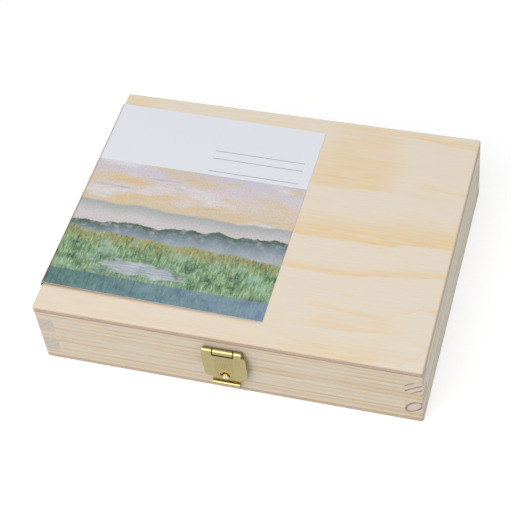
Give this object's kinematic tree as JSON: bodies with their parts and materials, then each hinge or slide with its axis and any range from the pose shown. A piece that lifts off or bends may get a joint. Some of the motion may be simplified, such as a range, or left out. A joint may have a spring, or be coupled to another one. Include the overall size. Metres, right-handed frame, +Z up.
{
  "type": "wooden watercolor box",
  "caption": "Finger-jointed pine box with a hinged plywood-topped lid, a brass flap hasp and divided bays for watercolor tubes.",
  "frame": {"origin": "centre of the box's underside, on the surface that it stands on", "axes": "+X along the front of the box to the right, +Y from the hasp at the front to the hinges at the back, +Z up"},
  "size_m": [0.2223, 0.1803, 0.0474],
  "materials": {
    "pine": "bare planed pine",
    "plywood": "bare sanded three-ply pine plywood with a brown core ply",
    "divider_pine": "bare sanded thin pine",
    "brass_sheet": "lacquered stamped brass, bright on its rolled edges",
    "brass_wire": "drawn brass wire",
    "printed_card": "coated printed card",
    "tube_aluminium": "satin soft aluminium",
    "cap_plastic": "moulded white plastic",
    "tube_band_1": "matt paper band in the colour of the paint",
    "tube_band_2": "matt paper band in the colour of the paint",
    "tube_band_3": "matt paper band in the colour of the paint",
    "tube_band_4": "matt paper band in the colour of the paint",
    "tube_band_5": "matt paper band in the colour of the paint"
  },
  "bodies": {
    "base": {"base_front_board": "pine", "base_back_board": "pine", "base_left_board": "pine", "base_right_board": "pine", "base_panel": "plywood", "trough_divider": "divider_pine", "bay_divider_1": "divider_pine", "bay_divider_2": "divider_pine", "bay_divider_3": "divider_pine", "bay_divider_4": "divider_pine", "catch_plate": "brass_sheet", "catch_nails": "brass_wire", "left_hinge_base_leaf": "brass_sheet", "right_hinge_base_leaf": "brass_sheet", "left_hinge_pin": "brass_wire", "right_hinge_pin": "brass_wire", "base_hinge_nails": "brass_wire"},
    "lid": {"lid_front_board": "pine", "lid_back_board": "pine", "lid_left_board": "pine", "lid_right_board": "pine", "lid_panel": "plywood", "label_card": "printed_card", "hasp_leaf": "brass_sheet", "hasp_leaf_nails": "brass_wire", "left_hinge_lid_leaf": "brass_sheet", "right_hinge_lid_leaf": "brass_sheet", "lid_hinge_nails": "brass_wire"},
    "hasp": {"hasp_flap": "brass_sheet", "hasp_pin": "brass_wire"},
    "tube_1": {"paint_tube_1": "tube_aluminium", "tube_label_1": "tube_band_1"},
    "cap_1": {"tube_cap_1": "cap_plastic"},
    "tube_2": {"paint_tube_2": "tube_aluminium", "tube_label_2": "tube_band_2"},
    "cap_2": {"tube_cap_2": "cap_plastic"},
    "tube_3": {"paint_tube_3": "tube_aluminium", "tube_label_3": "tube_band_3"},
    "cap_3": {"tube_cap_3": "cap_plastic"},
    "tube_4": {"paint_tube_4": "tube_aluminium", "tube_label_4": "tube_band_4"},
    "cap_4": {"tube_cap_4": "cap_plastic"},
    "tube_5": {"paint_tube_5": "tube_aluminium", "tube_label_5": "tube_band_5"},
    "cap_5": {"tube_cap_5": "cap_plastic"}
  },
  "joints": [
    {"name": "lid_hinge", "type": "hinge", "parent": "base", "child": "lid", "pos_m": [0, 0.0878, 0.02343], "axis": [-1, 0, 0], "range_deg": [0, 178]},
    {"name": "hasp_hinge", "type": "hinge", "parent": "lid", "child": "hasp", "pos_m": [0.0006, -0.0881, 0.0376], "axis": [-1, 0, 0], "range_deg": [0, 175]},
    {"name": "tube_1_lift", "type": "slide", "parent": "base", "child": "tube_1", "axis": [0, 0, 1], "range_m": [0, 0.015]},
    {"name": "tube_2_lift", "type": "slide", "parent": "base", "child": "tube_2", "axis": [0, 0, 1], "range_m": [0, 0.015]},
    {"name": "tube_3_lift", "type": "slide", "parent": "base", "child": "tube_3", "axis": [0, 0, 1], "range_m": [0, 0.015]},
    {"name": "tube_4_lift", "type": "slide", "parent": "base", "child": "tube_4", "axis": [0, 0, 1], "range_m": [0, 0.015]},
    {"name": "tube_5_lift", "type": "slide", "parent": "base", "child": "tube_5", "axis": [0, 0, 1], "range_m": [0, 0.015]},
    {"name": "cap_1_turn", "type": "hinge", "parent": "tube_1", "child": "cap_1", "pos_m": [-0.082, -0.02525, 0.01375], "axis": [0, -1, 0], "range_deg": [0, 720]},
    {"name": "cap_2_turn", "type": "hinge", "parent": "tube_2", "child": "cap_2", "pos_m": [-0.041, -0.02525, 0.01375], "axis": [0, -1, 0], "range_deg": [0, 720]},
    {"name": "cap_3_turn", "type": "hinge", "parent": "tube_3", "child": "cap_3", "pos_m": [0, -0.02525, 0.01375], "axis": [0, -1, 0], "range_deg": [0, 720]},
    {"name": "cap_4_turn", "type": "hinge", "parent": "tube_4", "child": "cap_4", "pos_m": [0.041, -0.02525, 0.01375], "axis": [0, -1, 0], "range_deg": [0, 720]},
    {"name": "cap_5_turn", "type": "hinge", "parent": "tube_5", "child": "cap_5", "pos_m": [0.082, -0.02525, 0.01375], "axis": [0, -1, 0], "range_deg": [0, 720]}
  ]
}
